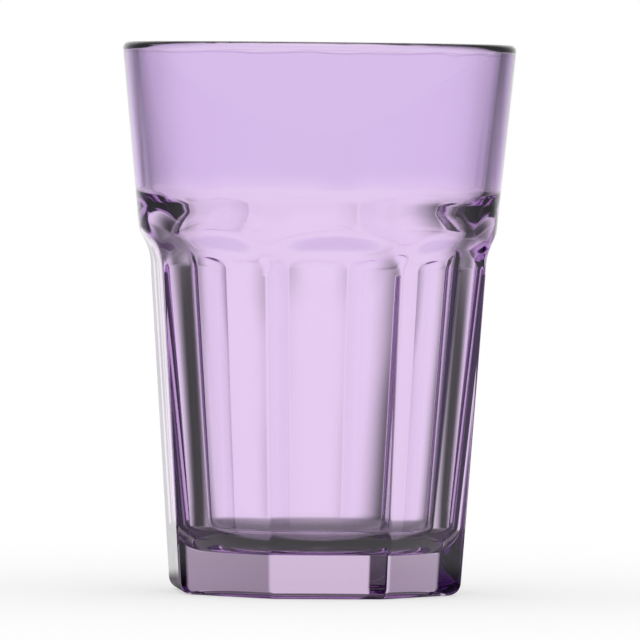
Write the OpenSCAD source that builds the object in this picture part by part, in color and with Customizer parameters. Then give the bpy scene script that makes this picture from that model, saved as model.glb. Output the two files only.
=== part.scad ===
// Panelled water tumbler, pressed in one piece of coloured glass.
// A smooth cone stands above a band of flat panels, and the cavity inside is round.
// Millimetres, +Z up, origin at the middle of the resting plane, one panel facing -Y.

/* [Overall] */
// Height from the resting plane to the top of the rim
height = 122; // [112:0.5:140]
// Outer diameter at the rim
rim_d = 87.7; // [84:0.1:96]

/* [Upper cone] */
// Height of the shoulder, where the panels' slopes come out on the cone
shoulder_z = 79.9; // [78.5:0.1:83]
// Outer diameter at the shoulder
shoulder_d = 79.4; // [78.6:0.1:82]
// Thickness of the wall at the rim
rim_wall = 3.2; // [2.6:0.1:4]
// Radius of the fire-polished rim, inside and outside
rim_r = 1.5; // [0.6:0.1:1.9]

/* [Panels] */
// Number of flat panels round the body
panel_count = 8; // [7:1:10]
// Distance across two opposite panels at the resting plane
panel_base_w = 62.3; // [60:0.1:64]
// Draft of the panels, in degrees from upright
panel_draft = 3.8; // [3.4:0.1:4.2]
// Height at which the flat of a panel ends and its slope to the cone begins
panel_top_z = 76; // [72:0.5:77]
// Radius of the hollow between a panel and its slope
panel_hollow_r = 8; // [2:0.5:12]
// Width of the narrow rib left between two panels
rib_w = 1.2; // [0.8:0.1:3]
// Height past the start of the hollows beside it at which a rib begins to widen out to the cone
rib_flare = 0.6; // [0.3:0.1:1]
// Height past the start of those hollows at which the rib ends on the cone
rib_rise = 3.3; // [1.5:0.1:5]

/* [Stacking ledge] */
// Height at which the ledge inside the cup begins
ledge_low_z = 81.7; // [79:0.1:84]
// Height at which the ledge ends in the upper wall
ledge_high_z = 88.2; // [86:0.1:94]
// Thickness of the upper wall at the end of the ledge
ledge_wall = 3.6; // [3:0.1:4.4]
// Radius of the bend at the foot of the ledge
ledge_low_r = 18; // [4:0.5:24]
// Radius of the bend at the top of the ledge
ledge_high_r = 10; // [4:0.5:16]

/* [Lower cavity and base] */
// Thickness of the wall behind the top of a panel
panel_top_wall = 3.3; // [2.6:0.1:4]
// Thickness of the wall behind a panel at the floor of the cup
panel_low_wall = 5.6; // [4.5:0.1:8]
// Height of the floor of the cup
floor_z = 9.6; // [7:0.1:12]
// Height of the edge where the wall of the cup turns in to the bowl round its floor
bowl_rim_z = 14.7; // [13.5:0.1:20]
// Radius of that edge
bowl_rim_r = 1.2; // [0.4:0.1:3]
// Lean of the bowl's side, in degrees from level
bowl_lean = 57; // [45:1:70]
// Radius of the bowl's curve down to the floor
bowl_r = 10; // [4:0.5:14]
// Radius of the heel round the base
heel_r = 2.9; // [1.5:0.1:5]
// Diameter of the shallow dome under the base, inside the ring that it rests on
dome_d = 44; // [34:1:50]
// Height of that dome at its middle
dome_h = 1; // [0.5:0.1:2.5]

/* [Hidden] */
$fn = 128;
// Largest angle that one chord of an arc takes
arc_step = 5;
// How far a cut runs past the glass
cut_past = 5;
// Share of a straight run that the roundings at its two ends may take together
run_share = 0.96;
glass_lilac = [0.76, 0.63, 0.86, 0.55];

shoulder_radius = shoulder_d / 2;
rim_radius = rim_d / 2;
rim_round = min(rim_r, run_share * rim_wall / 2);
panel_turn = 360 / panel_count;

// Radius of the upper cone, outside, at height z
function cone_radius(z) =
    shoulder_radius + (rim_radius - shoulder_radius) * (z - shoulder_z) / (height - shoulder_z);

// Distance from the axis to the plane of a panel at height z
function panel_reach(z) = panel_base_w / 2 + z * tan(panel_draft);

// Radius of the rib's outer face at height z, which leaves the rib its width
function rib_radius(z) =
    let (half_w = rib_w / 2,
         half_turn = panel_turn / 2,
         to_face = (panel_reach(z) - half_w * sin(half_turn)) / cos(half_turn))
    norm([to_face, half_w]);

// Radius of the lower cavity at height z
panel_top_cavity = panel_reach(panel_top_z) - panel_top_wall;
floor_cavity = panel_reach(floor_z) - panel_low_wall;
function cavity_radius(z) =
    floor_cavity + (panel_top_cavity - floor_cavity) * (z - floor_z) / (panel_top_z - floor_z);

// Lean of a panel's slope in degrees from upright, and the heights at which its hollow begins and a rib ends
panel_slope = atan2(shoulder_radius - panel_reach(panel_top_z), shoulder_z - panel_top_z);
hollow_z = panel_top_z - panel_hollow_r * tan((panel_slope - panel_draft) / 2) * cos(panel_draft);
rib_flare_z = hollow_z + rib_flare;
rib_top_z = hollow_z + rib_rise;

// Ends of the ledge, the lean of the walls above and below it, and its bends as far as it has room for them
ledge_top = [cone_radius(ledge_high_z) - ledge_wall, ledge_high_z];
ledge_foot = [cavity_radius(ledge_low_z), ledge_low_z];
upper_lean = atan2(rim_radius - rim_wall - ledge_top.x, height - ledge_high_z);
lower_lean = atan2(panel_top_cavity - floor_cavity, panel_top_z - floor_z);
ledge_lean = atan2(ledge_top.x - ledge_foot.x, ledge_high_z - ledge_low_z);
ledge_need = ledge_low_r * tan((ledge_lean - lower_lean) / 2)
    + ledge_high_r * tan((ledge_lean - upper_lean) / 2);
ledge_fit = min(1, run_share * norm(ledge_top - ledge_foot) / ledge_need);

// Corner at the foot of the bowl's side, and its roundings as far as the side has room for them
bowl_rim = [cavity_radius(bowl_rim_z), bowl_rim_z];
bowl_foot = [bowl_rim.x - (bowl_rim_z - floor_z) / tan(bowl_lean), floor_z];
bowl_need = bowl_r * tan(bowl_lean / 2) + bowl_rim_r * tan((90 - lower_lean - bowl_lean) / 2);
bowl_fit = min(1, run_share * norm(bowl_rim - bowl_foot) / bowl_need);

// Direction from one point to another
function direction(from, to) = (to - from) / norm(to - from);

// A vector turned by an angle
function turned(v, angle) =
    [v.x * cos(angle) - v.y * sin(angle), v.x * sin(angle) + v.y * cos(angle)];

// Arc that rounds the corner at p, on the way from the point before it to the one after it
function rounded_corner(before, p, after, radius) =
    let (u = direction(p, before),
         v = direction(p, after),
         half = acos(u * v) / 2,
         start = p + u * radius / tan(half),
         centre = p + direction([0, 0], u + v) * radius / sin(half),
         sweep = (180 - 2 * half) * sign(cross(p - before, after - p)),
         chords = ceil(abs(sweep) / arc_step))
    [for (i = [0 : chords]) centre + turned(start - centre, sweep * i / chords)];

// Outline through points [x, y, radius], with each corner rounded to its own radius
function rounded_outline(corners) =
    let (n = len(corners), points = [for (c = corners) [c.x, c.y]])
    [for (i = [0 : n - 1])
        each corners[i].z == 0
            ? [points[i]]
            : rounded_corner(points[(i + n - 1) % n], points[i], points[(i + 1) % n], corners[i].z)];

// Half section of the glass before its panels are cut: dome, heel, ribs, cone, rim and cavity
module turned_section() {
    dome_radius = (pow(dome_d / 2, 2) + pow(dome_h, 2)) / (2 * dome_h);
    dome_half_angle = asin(dome_d / 2 / dome_radius);
    dome_chords = ceil(dome_half_angle);
    dome = [for (i = [0 : dome_chords])
        let (angle = dome_half_angle * i / dome_chords)
        [dome_radius * sin(angle), dome_h - dome_radius * (1 - cos(angle))]];
    walls = rounded_outline([
        [dome_d / 2, 0, 0],
        [rib_radius(0), 0, heel_r],
        [rib_radius(rib_flare_z), rib_flare_z, 0],
        [cone_radius(rib_top_z), rib_top_z, 0],
        [rim_radius, height, rim_round],
        [rim_radius - rim_wall, height, rim_round],
        [ledge_top.x, ledge_top.y, ledge_high_r * ledge_fit],
        [ledge_foot.x, ledge_foot.y, ledge_low_r * ledge_fit],
        [bowl_rim.x, bowl_rim.y, bowl_rim_r * bowl_fit],
        [bowl_foot.x, bowl_foot.y, bowl_r * bowl_fit],
        [0, floor_z, 0]
    ]);
    polygon(concat([for (i = [0 : dome_chords - 1]) dome[i]], walls));
}

// What is pressed away for one panel: its flat, the heel below it and the slope above it
module panel_cut() {
    flat_low = panel_reach(0);
    flat_high = panel_reach(panel_top_z);
    clear = rim_radius + cut_past;
    heel_foot = flat_low - heel_r * tan(45 - panel_draft / 2);
    outline = rounded_outline([
        [heel_foot, -cut_past, 0],
        [heel_foot, 0, 0],
        [flat_low, 0, heel_r],
        [flat_high, panel_top_z, panel_hollow_r],
        [clear, panel_top_z + (clear - flat_high) / tan(panel_slope), 0],
        [clear, -cut_past, 0]
    ]);
    rotate([90, 0, 0])
        linear_extrude(rim_d, center = true)
            polygon(outline);
}

// The whole glass: the turned form with a panel pressed into it at each step of the turn
module tumbler() {
    color(glass_lilac)
        difference() {
            rotate_extrude()
                turned_section();
            for (i = [0 : panel_count - 1])
                rotate(i * panel_turn - 90)
                    panel_cut();
        }
}

tumbler();
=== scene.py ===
import math

import bmesh
import bpy
from mathutils import Euler, Matrix, Vector


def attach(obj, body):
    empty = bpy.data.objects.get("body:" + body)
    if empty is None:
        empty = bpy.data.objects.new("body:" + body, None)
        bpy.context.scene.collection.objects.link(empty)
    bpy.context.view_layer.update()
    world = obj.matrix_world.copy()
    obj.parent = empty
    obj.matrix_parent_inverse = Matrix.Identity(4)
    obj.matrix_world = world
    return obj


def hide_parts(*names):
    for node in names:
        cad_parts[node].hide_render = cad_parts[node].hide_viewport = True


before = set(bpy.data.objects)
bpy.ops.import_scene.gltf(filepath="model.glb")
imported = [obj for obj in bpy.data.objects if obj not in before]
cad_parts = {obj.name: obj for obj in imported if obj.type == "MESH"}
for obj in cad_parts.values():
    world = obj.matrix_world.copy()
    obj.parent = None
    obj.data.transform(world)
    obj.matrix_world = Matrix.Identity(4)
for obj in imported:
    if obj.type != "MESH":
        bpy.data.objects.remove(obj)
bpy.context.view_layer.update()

# Tumbler: the whole glass is one piece, pressed from a gob of molten soda-lime glass and then
# fire-polished at the rim. The mould gives the cone, the flat panels and the base, and a round
# plunger gives the cavity with its ledge, so the inside is a turned form.
MM = 0.001
height = 121.99
rim_radius = 43.82
cone_slope = math.tan(math.radians(5.6))
rim_wall = 3.2
rim_outer_r = 1.3
rim_inner_r = 1.8
panel_count = 8
panel_base_reach = 31.15
panel_draft = math.radians(3.8)
panel_top_z = 76.0
shoulder_z = 79.9
hollow_r = 10.8
rib_round = 1.5
rib_top_round = 7.0
arch_blend = 0.6
arch_top_blend = 1.3
heel_r = 2.9
dome_radius = 22.0
dome_height = 1.0
ledge_low_z = 81.7
ledge_low_r = 18.0
ledge_high_z = 88.2
ledge_high_r = 10.0
ledge_wall = 3.6
panel_top_wall = 3.3
panel_low_wall = 5.6
floor_z = 9.6
bowl_rim_z = 14.7
bowl_rim_r = 3.2
bowl_slope = math.radians(57.0)
bowl_r = 9.2

half_turn = math.pi / panel_count
heel_middle = panel_base_reach - heel_r * math.tan(math.pi / 4 - panel_draft / 2)
heel_top_z = heel_r * (1 - math.sin(panel_draft))


def cone_radius(z):
    return rim_radius - cone_slope * (height - z)


def panel_reach(z):
    return panel_base_reach + math.tan(panel_draft) * z


# The hollow is an arc that bends the panel into its slope, and the slope runs out on the cone.
slope_run = cone_radius(shoulder_z) - panel_reach(panel_top_z)
slope = math.atan(slope_run / (shoulder_z - panel_top_z))
hollow_lean = (slope + panel_draft) / 2
hollow_reach = hollow_r / math.cos((slope - panel_draft) / 2)
hollow_x = panel_reach(panel_top_z) + hollow_reach * math.cos(hollow_lean)
hollow_z = panel_top_z - hollow_reach * math.sin(hollow_lean)
hollow_low_z = hollow_z + hollow_r * math.sin(panel_draft)
hollow_high_z = hollow_z + hollow_r * math.sin(slope)
arch_low_z = panel_top_z - 5.0
arch_top_z = shoulder_z + 1.0
soften_below = 1.0
soften_height = 5.0


def panel_section(z):
    """Distance from the axis to the middle of a panel at height z, with its heel and its hollow."""
    if z < heel_top_z:
        return heel_middle + math.sqrt(max(z * (2 * heel_r - z), 0.0))
    if z <= hollow_low_z:
        return panel_reach(z)
    if z < hollow_high_z:
        return hollow_x - math.sqrt(hollow_r ** 2 - (z - hollow_z) ** 2)
    return cone_radius(shoulder_z) + math.tan(slope) * (z - shoulder_z)


def rounded_polygon(angle, reach, radius):
    """Radius of the panelled outline at an angle from the middle of a panel."""
    angle = abs(angle)
    if reach * math.tan(angle) <= (reach - radius) * math.tan(half_turn):
        return reach / math.cos(angle)
    middle = (reach - radius) / math.cos(half_turn)
    off = half_turn - angle
    across = math.sqrt(max(radius ** 2 - (middle * math.sin(off)) ** 2, 0.0))
    return middle * math.cos(off) + across


def soft_least(a, b, blend):
    """The smaller of two radii, with the edge between them rounded."""
    near = max(blend - abs(a - b), 0.0) / blend
    return min(a, b) - near * near * blend / 4


def outer_radius(angle, z):
    """Radius of the outside, whose ribs and arches grow softer where the hollow begins."""
    soft = min(max((z - hollow_low_z + soften_below) / soften_height, 0.0), 1.0)
    soft = soft * soft * (3 - 2 * soft)
    rib_r = rib_round + (rib_top_round - rib_round) * soft
    panels = rounded_polygon(angle, panel_section(z), rib_r)
    if z <= arch_low_z:
        return panels
    return soft_least(cone_radius(z), panels, arch_blend + (arch_top_blend - arch_blend) * soft)


panel_top_cavity = panel_reach(panel_top_z) - panel_top_wall
floor_cavity = panel_reach(floor_z) - panel_low_wall
cavity_slope = (panel_top_cavity - floor_cavity) / (panel_top_z - floor_z)


def cavity_radius(z):
    return floor_cavity + cavity_slope * (z - floor_z)


def rounded(corners, chord):
    """Points of an outline through (x, z, radius) corners, each corner rounded to its radius."""
    points = [Vector(c[:2]) for c in corners]
    out = [points[0]]
    for before, p, after, (_, _, radius) in zip(points, points[1:], points[2:], corners[1:]):
        u = (before - p).normalized()
        v = (after - p).normalized()
        half = math.acos(u.dot(v)) / 2
        centre = p + (u + v).normalized() * radius / math.sin(half)
        start = p + u * radius / math.tan(half) - centre
        turn = math.copysign(math.pi - 2 * half, (p - before).cross(after - p))
        chords = math.ceil(abs(math.degrees(turn)) / chord)
        out += [
            centre + Matrix.Rotation(turn * i / chords, 2) @ start for i in range(chords + 1)
        ]
    return out + [points[-1]]


def spaced(low, high, steps):
    """Evenly spaced values from low to high."""
    return [low + (high - low) * i / steps for i in range(steps + 1)]


# One half section is turned about the axis: dome, heel, panel, cone and rim, and then the cavity.
sector_steps = 48
arc_chord = 2.5
dome_rings = 8
heel_rings = 16
panel_rings = 16
arch_rings = 54
ring_gap = 0.3
cone_low_z = arch_top_z + 0.4
merge_within = 1e-4

dome_sphere = (dome_radius ** 2 + dome_height ** 2) / (2 * dome_height)
dome_middle_z = dome_height - dome_sphere
section = [
    Vector((r, dome_middle_z + math.sqrt(dome_sphere ** 2 - r ** 2)))
    for r in spaced(0.0, dome_radius, dome_rings)
]
heel_turns = spaced(0.0, math.pi / 2 - panel_draft, heel_rings)
levels = [heel_r * (1 - math.cos(turn)) for turn in heel_turns]
levels += spaced(heel_top_z + ring_gap, arch_low_z - ring_gap, panel_rings)
levels += spaced(arch_low_z, arch_top_z, arch_rings)
section += [Vector((panel_section(z), z)) for z in levels]
rim_outer_share = rim_outer_r / (rim_outer_r + rim_inner_r)
rim_top = (rim_radius - rim_wall * rim_outer_share, height, 0.0)
section += rounded(
    [
        (cone_radius(cone_low_z), cone_low_z, 0.0),
        (rim_radius, height, rim_outer_r),
        rim_top,
    ],
    arc_chord,
)
outside = len(section)
bowl_run = (bowl_rim_z - floor_z) / math.tan(bowl_slope)
section += rounded(
    [
        rim_top,
        (rim_radius - rim_wall, height, rim_inner_r),
        (cone_radius(ledge_high_z) - ledge_wall, ledge_high_z, ledge_high_r),
        (cavity_radius(ledge_low_z), ledge_low_z, ledge_low_r),
        (cavity_radius(bowl_rim_z), bowl_rim_z, bowl_rim_r),
        (cavity_radius(bowl_rim_z) - bowl_run, floor_z, bowl_r),
        (0.0, floor_z, 0.0),
    ],
    arc_chord,
)[1:]
bm = bmesh.new()
stained = bm.verts.layers.float.new("stained")
verts = [bm.verts.new((p.x, 0.0, p.y)) for p in section]
for v in verts[:outside]:
    v[stained] = 1.0
edges = [bm.edges.new(pair) for pair in zip(verts, verts[1:])]
bmesh.ops.spin(
    bm,
    geom=verts + edges,
    cent=(0, 0, 0),
    axis=(0, 0, 1),
    angle=2 * math.pi,
    steps=panel_count * sector_steps,
    use_merge=True,
)
bmesh.ops.remove_doubles(bm, verts=bm.verts, dist=merge_within)

# The mould presses the panels: every point of the outside below the cone is set in to its panel,
# and the points crowd towards the ribs, where the form turns fastest.
sector = 2 * half_turn
crowd = 0.75
slack = 0.01
for v in bm.verts:
    r = math.hypot(v.co.x, v.co.y)
    z = v.co.z
    angle = math.atan2(v.co.x, -v.co.y)
    step = round(angle / sector)
    off = (angle - step * sector) / half_turn
    off = half_turn * (off + crowd * math.sin(math.pi * off) / math.pi)
    below_cone = r > dome_radius + slack and z < arch_top_z + slack
    if below_cone and r > (cavity_radius(z) + panel_section(z)) / 2:
        r = outer_radius(off, z)
    angle = step * sector + off
    v.co.x = r * math.sin(angle)
    v.co.y = -r * math.cos(angle)

bmesh.ops.remove_doubles(bm, verts=bm.verts, dist=merge_within)
bmesh.ops.recalc_face_normals(bm, faces=bm.faces)
bmesh.ops.scale(bm, vec=(MM, MM, MM), verts=bm.verts)
for face in bm.faces:
    face.smooth = True


def placed(name, bm):
    """The object made from a finished bmesh, at the origin."""
    mesh = bpy.data.meshes.new(name)
    bm.to_mesh(mesh)
    bm.free()
    made = bpy.data.objects.new(name, mesh)
    bpy.context.collection.objects.link(made)
    return made


tumbler = placed("pressed_tumbler", bm)


def linear(code):
    """Linear colour of an sRGB hex code."""
    shares = [int(code[i : i + 2], 16) / 255 for i in (1, 3, 5)]
    return [s / 12.92 if s <= 0.04045 else ((s + 0.055) / 1.055) ** 2.4 for s in shares] + [1.0]


def fresh_tree(owner):
    """The node tree of a material or a world, emptied."""
    owner.use_nodes = True
    owner.node_tree.nodes.clear()
    return owner.node_tree


def add_node(tree, kind, settings=None, **inputs):
    """Adds a node, sets its properties, and sets or links its input sockets by name or number."""
    made = tree.nodes.new(kind)
    for name, value in (settings or {}).items():
        setattr(made, name, value)
    for name, value in inputs.items():
        socket = made.inputs[int(name[1:]) if name[0] == "_" else name.replace("_", " ")]
        if isinstance(value, bpy.types.NodeSocket):
            tree.links.new(value, socket)
        else:
            socket.default_value = value
    return made


def calc(tree, operation, *values):
    """The result of one step of arithmetic on sockets and numbers."""
    inputs = {f"_{i}": value for i, value in enumerate(values)}
    return add_node(tree, "ShaderNodeMath", {"operation": operation}, **inputs).outputs[0]


def edge(tree, value, start, end, low=0.0, high=1.0):
    """A soft step of a value from one level to another."""
    return add_node(
        tree,
        "ShaderNodeMapRange",
        {"interpolation_type": "SMOOTHSTEP"},
        _0=value,
        _1=start,
        _2=end,
        _3=low,
        _4=high,
    ).outputs[0]


# Clear soda-lime glass with a thin lilac stain on the outside, which is deeper on the upper cone
# and stops at a wavering line just under the pale lip. Light takes its colour where it leaves the
# glass, and more at each reflection inside it, so the edges turn to dark violet.
# The mould leaves a faint waviness, and fire-polishing leaves the surface close to a mirror.
glass = bpy.data.materials.new("lilac stained soda-lime glass, pressed and fire-polished")
tree = fresh_tree(glass)
place = add_node(tree, "ShaderNodeTexCoord").outputs["Object"]
up = add_node(tree, "ShaderNodeSeparateXYZ", _0=place).outputs[2]
wave_mm = 9.0
waves = add_node(
    tree,
    "ShaderNodeTexNoise",
    Vector=place,
    Scale=1 / (wave_mm * MM),
    Detail=1.0,
    Roughness=0.4,
).outputs[0]
deep_from_z = 86.0
deep_full_z = 94.0
seam_low_z = 119.9
seam_high_z = 120.3
lip_low_z = 120.6
seam_wander = 1.2
deep = edge(tree, up, deep_from_z * MM, deep_full_z * MM)
wander = calc(tree, "MULTIPLY_ADD", waves, seam_wander * MM, up)
lip = edge(tree, wander, seam_high_z * MM, lip_low_z * MM)
seam = calc(tree, "SUBTRACT", edge(tree, wander, seam_low_z * MM, seam_high_z * MM), lip)
glass_ior = 1.52
mirror_from = 0.5
mirror_full = 0.95
mirror = add_node(tree, "ShaderNodeFresnel", IOR=glass_ior).outputs[0]
turned_back = edge(tree, mirror, mirror_from, mirror_full)


def layered(colours, shares):
    """A colour with others laid over it, each by its share."""
    colour = linear(colours[0])
    for over, share in zip(colours[1:], shares):
        colour = add_node(
            tree,
            "ShaderNodeMix",
            {"data_type": "RGBA"},
            _0=share,
            _6=colour,
            _7=linear(over),
        ).outputs[2]
    return colour


body = layered(["#FBF4FE", "#F6EFFC", "#FEFCFE", "#E2D6E8"], [deep, lip, seam])
stain = layered(
    ["#F6E8FD", "#EDDDF8", "#F8F0FC", "#E4D4EE", "#E2D0EA"],
    [deep, lip, seam, turned_back],
)
coated = add_node(tree, "ShaderNodeAttribute", {"attribute_name": "stained"}).outputs["Fac"]
from_inside = add_node(tree, "ShaderNodeNewGeometry").outputs["Backfacing"]
wave_depth = 0.006
rough_from = 0.3
rough_to = 0.7
rough_most = 0.03
pressed = add_node(tree, "ShaderNodeBump", Strength=1.0, Distance=wave_depth * MM, Height=waves)
surface = add_node(
    tree,
    "ShaderNodeBsdfPrincipled",
    Base_Color=body,
    Roughness=edge(tree, waves, rough_from, rough_to, 0.0, rough_most),
    IOR=glass_ior,
    Transmission_Weight=1.0,
    Coat_Weight=calc(tree, "MULTIPLY", coated, from_inside),
    Coat_Tint=stain,
    Coat_Roughness=0.0,
    Coat_IOR=1.0,
    Normal=pressed.outputs[0],
)
tint = add_node(tree, "ShaderNodeVolumeAbsorption", Color=linear("#E2DBE0"), Density=20.0)
add_node(tree, "ShaderNodeOutputMaterial", Surface=surface.outputs[0], Volume=tint.outputs[0])
tumbler.data.materials.append(glass)

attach(tumbler, "root")
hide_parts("tumbler")

# Floor: a plain sheet of matt white paper, which the glass stands on and which takes its shadow.
# What the glass shows of it is a glow in place of lit paper: white behind the glass, a painted
# shadow dark under it, and painted shade dim to both sides and lighter again in front.
floor_radius = 1.6
floor_sides = 96
white = linear("#FFFFFF")
matt_white = linear("#FCFCFC")
front_full = math.radians(90)


def surround(tree, axes, middle, white_to, dark_from, dark, front_from, front):
    """Brightness round the glass: white behind it, dim to both sides and lit again in front."""
    turn = calc(tree, "ARCTAN2", axes.outputs[0], axes.outputs[1])
    aside = calc(tree, "ABSOLUTE", calc(tree, "SUBTRACT", turn, math.radians(middle)))
    behind = edge(tree, aside, math.radians(white_to), math.radians(dark_from), 1.0, dark)
    lit = edge(tree, aside, math.radians(front_from), front_full, 0.0, front)
    return calc(tree, "ADD", behind, lit)


def between(tree, share, low, high):
    """A level between two others."""
    mixed = add_node(tree, "ShaderNodeMix", {"data_type": "FLOAT"}, _0=share, _2=low, _3=high)
    return mixed.outputs[0]


def seen_in_glass(tree):
    """One for light that the glass bends or mirrors, zero for what is seen directly."""
    rays = add_node(tree, "ShaderNodeLightPath").outputs
    return calc(tree, "MAXIMUM", rays["Is Transmission Ray"], rays["Is Glossy Ray"])


bm = bmesh.new()
bmesh.ops.create_circle(bm, cap_ends=True, segments=floor_sides, radius=floor_radius)
floor = placed("floor", bm)
paper = bpy.data.materials.new("white paper")
tree = fresh_tree(paper)
place = add_node(tree, "ShaderNodeTexCoord").outputs["Object"]
axes = add_node(tree, "ShaderNodeSeparateXYZ", _0=place)
reach = add_node(tree, "ShaderNodeVectorMath", {"operation": "LENGTH"}, _0=place).outputs["Value"]
painted_shadow_span = (-0.02, 0.03)
painted_shadow_levels = (0.04, 0.17)
clear_span = (0.048, 0.095)
far_span = (0.36, 0.6)
back_span = (0.8, 1.1)
bleach_span = (0.08, 0.3)
bleach_least = 0.5
# Painted shadow: the glow that the glass sees is dark under the glass and rises to the open floor
# round it.
painted_shadow_under = edge(tree, axes.outputs[1], *painted_shadow_span, *painted_shadow_levels)
# Painted shade round the glass, near it, farther out and at the back: white behind, dim to both
# sides and lighter in front.
near = surround(
    tree, axes, middle=-4, white_to=16, dark_from=54, dark=0.03, front_from=68, front=0.65
)
far = surround(
    tree, axes, middle=2, white_to=12, dark_from=50, dark=0.25, front_from=60, front=0.5
)
back = surround(
    tree, axes, middle=4, white_to=6, dark_from=40, dark=0.15, front_from=45, front=0.58
)
open_floor = between(tree, edge(tree, reach, *far_span), near, far)
open_floor = between(tree, edge(tree, reach, *back_span), open_floor, back)
level = between(tree, edge(tree, reach, *clear_span), painted_shadow_under, open_floor)
# The glow that the glass sees in place of the lit floor, with its painted shadow and painted shade.
through = add_node(tree, "ShaderNodeEmission", Color=white, Strength=level)
matt = add_node(tree, "ShaderNodeBsdfDiffuse", Color=matt_white)
glow = add_node(tree, "ShaderNodeEmission", Color=white, Strength=1.0)
direct = add_node(
    tree,
    "ShaderNodeMixShader",
    _0=edge(tree, reach, *bleach_span, low=bleach_least),
    _1=matt.outputs[0],
    _2=glow.outputs[0],
)
shown = add_node(
    tree,
    "ShaderNodeMixShader",
    _0=seen_in_glass(tree),
    _1=direct.outputs[0],
    _2=through.outputs[0],
)
add_node(tree, "ShaderNodeOutputMaterial", Surface=shown.outputs[0])
floor.data.materials.append(paper)

# Studio: a white backdrop behind the glass, with the room dim to both sides of it and soft light
# in front, which falls off above the level of the table.
world = bpy.data.worlds.new("studio")
bpy.context.scene.world = world
tree = fresh_tree(world)
place = add_node(tree, "ShaderNodeTexCoord").outputs["Generated"]
axes = add_node(tree, "ShaderNodeSeparateXYZ", _0=place)
front_span = (0.12, 0.26)
front_levels = (0.58, 0.3)
front = edge(tree, axes.outputs[2], *front_span, *front_levels)
studio = surround(
    tree, axes, middle=4, white_to=8, dark_from=42, dark=0.2, front_from=45, front=front
)
level = between(tree, seen_in_glass(tree), 1.0, studio)
sky = add_node(tree, "ShaderNodeBackground", Color=white, Strength=level)
add_node(tree, "ShaderNodeOutputWorld", Surface=sky.outputs[0])

# Camera: a long lens just below the level of the rim, a few degrees round the glass.
# It is set so that the axis of the glass falls on its place in the frame.
camera_turn = math.radians(-6.1)
camera_rise = math.radians(1.35)
camera_roll = math.radians(0.594)
camera_distance = 2.0
camera_reach = 50.0
pixels_per_mm = 4.499
frame_pixels = 640
axis_x_pixel = 316.93
axis_y_pixel = 317.96
axis_z = 61.0
sensor_mm = 36.0
right = Vector((math.cos(camera_turn), math.sin(camera_turn), 0.0))
aim = Vector((0.0, 0.0, axis_z * MM))
aim += right * (frame_pixels / 2 - axis_x_pixel) / pixels_per_mm * MM
aim.z -= (frame_pixels / 2 - axis_y_pixel) / pixels_per_mm * MM
camera_data = bpy.data.cameras.new("camera")
camera_data.sensor_width = sensor_mm
camera_data.lens = pixels_per_mm / MM * camera_distance * sensor_mm / frame_pixels
camera_data.clip_end = camera_reach
camera = bpy.data.objects.new("camera", camera_data)
turned = Euler((math.pi / 2 - camera_rise, 0.0, camera_turn)).to_matrix()
camera.matrix_world = (turned @ Matrix.Rotation(camera_roll, 3, "Z")).to_4x4()
camera.location = aim + turned @ Vector((0, 0, camera_distance))
bpy.context.collection.objects.link(camera)
bpy.context.scene.camera = camera

# Light turns many times inside the ledge and the ribs before it comes out again.
bounces = 32
bpy.context.scene.cycles.max_bounces = bounces
bpy.context.scene.cycles.transmission_bounces = bounces
bpy.context.scene.cycles.glossy_bounces = bounces
bpy.context.scene.view_settings.view_transform = "Standard"
